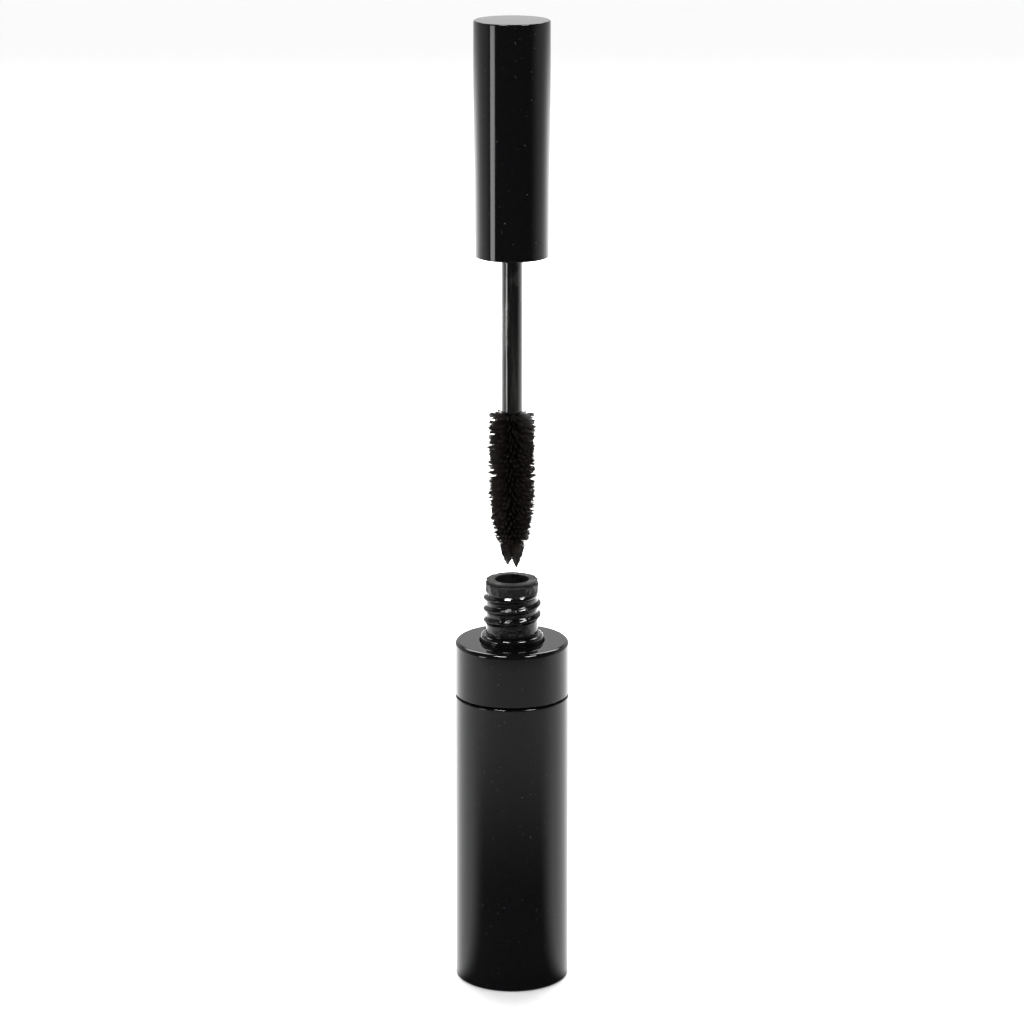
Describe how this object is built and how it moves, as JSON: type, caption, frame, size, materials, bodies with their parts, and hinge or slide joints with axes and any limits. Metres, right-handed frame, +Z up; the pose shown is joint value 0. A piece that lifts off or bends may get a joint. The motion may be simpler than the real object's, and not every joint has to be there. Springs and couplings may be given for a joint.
{
  "type": "mascara tube",
  "caption": "Round cosmetic tube with a threaded neck and a wiper, and a slimmer screw cap that carries a wand and a tapered brush.",
  "frame": {"origin": "centre of the base's lower face", "axes": "+Z up along the common axis of the tube, neck, wand and cap"},
  "size_m": [0.02, 0.02, 0.17],
  "materials": {
    "sleeve_lacquer": "gloss black lacquer",
    "collar_lacquer": "gloss black lacquer",
    "vial_plastic": "gloss black moulded plastic",
    "wiper_plastic": "matte dark grey soft plastic",
    "plug_plastic": "satin black moulded plastic",
    "mascara": "wet black",
    "cap_lacquer": "gloss black lacquer",
    "inner_cap_plastic": "satin black moulded plastic",
    "liner_foam": "pale matte foam",
    "rod_plastic": "satin black moulded plastic",
    "brush_wire": "twisted steel wire",
    "bristle_fibre": "matte black-brown fibres"
  },
  "bodies": {
    "tube": {"outer_sleeve": "sleeve_lacquer", "collar": "collar_lacquer", "vial": "vial_plastic", "wiper": "wiper_plastic", "base_plug": "plug_plastic", "mascara_fill": "mascara"},
    "liner": {"cap_liner": "liner_foam"},
    "rod": {"wand_rod": "rod_plastic"},
    "cap": {"cap_shell": "cap_lacquer", "inner_cap": "inner_cap_plastic", "brush_core": "brush_wire", "bristles": "bristle_fibre"}
  },
  "joints": [
    {"name": "wand_pull", "type": "slide", "parent": "tube", "child": "liner", "axis": [0, 0, 1], "range_m": [-0.0642, 0.015], "deforming": ["bristles"]},
    {"name": "cap_rise", "type": "slide", "parent": "liner", "child": "rod", "axis": [0, 0, 1], "range_m": [-0.0035, 0]},
    {"name": "cap_turn", "type": "hinge", "parent": "rod", "child": "cap", "pos_m": [0, 0, 0.13], "axis": [0, 0, 1], "range_deg": [-630, 0]}
  ],
  "couplings": [
    {"joint": "cap_rise", "follows": "cap_turn", "m_per_rad": 0.00031831}
  ]
}
